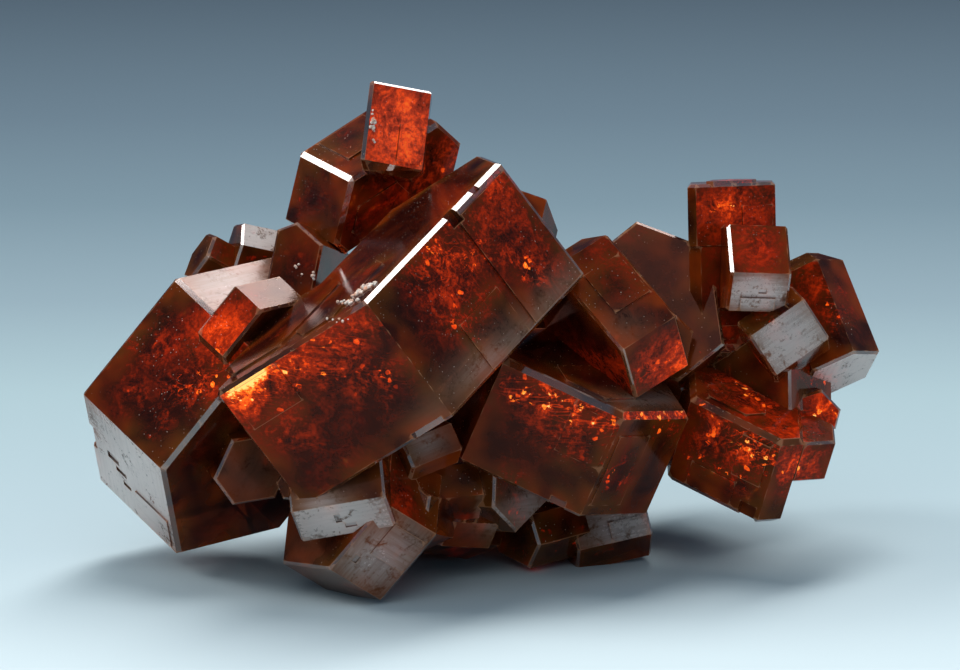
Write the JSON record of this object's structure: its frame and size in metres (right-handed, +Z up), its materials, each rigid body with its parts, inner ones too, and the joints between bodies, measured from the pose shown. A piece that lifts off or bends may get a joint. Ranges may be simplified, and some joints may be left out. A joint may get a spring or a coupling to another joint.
{
  "type": "vanadinite crystal cluster",
  "caption": "Free-standing cluster of short six-sided reddish-brown vanadinite crystals grown through one another, resting on its flat-cut underside.",
  "frame": {"origin": "middle of the bounding box at the level of the flat-cut underside", "axes": "+X along the cluster's length, to the right as seen in the picture; +Y away from the viewer; +Z up"},
  "size_m": [0.04, 0.0266, 0.0245],
  "materials": {
    "vanadinite": "natural adamantine crystal faces, dark translucent reddish brown with orange edges"
  },
  "bodies": {
    "root": {"crystal_cluster": "vanadinite"}
  },
  "joints": []
}
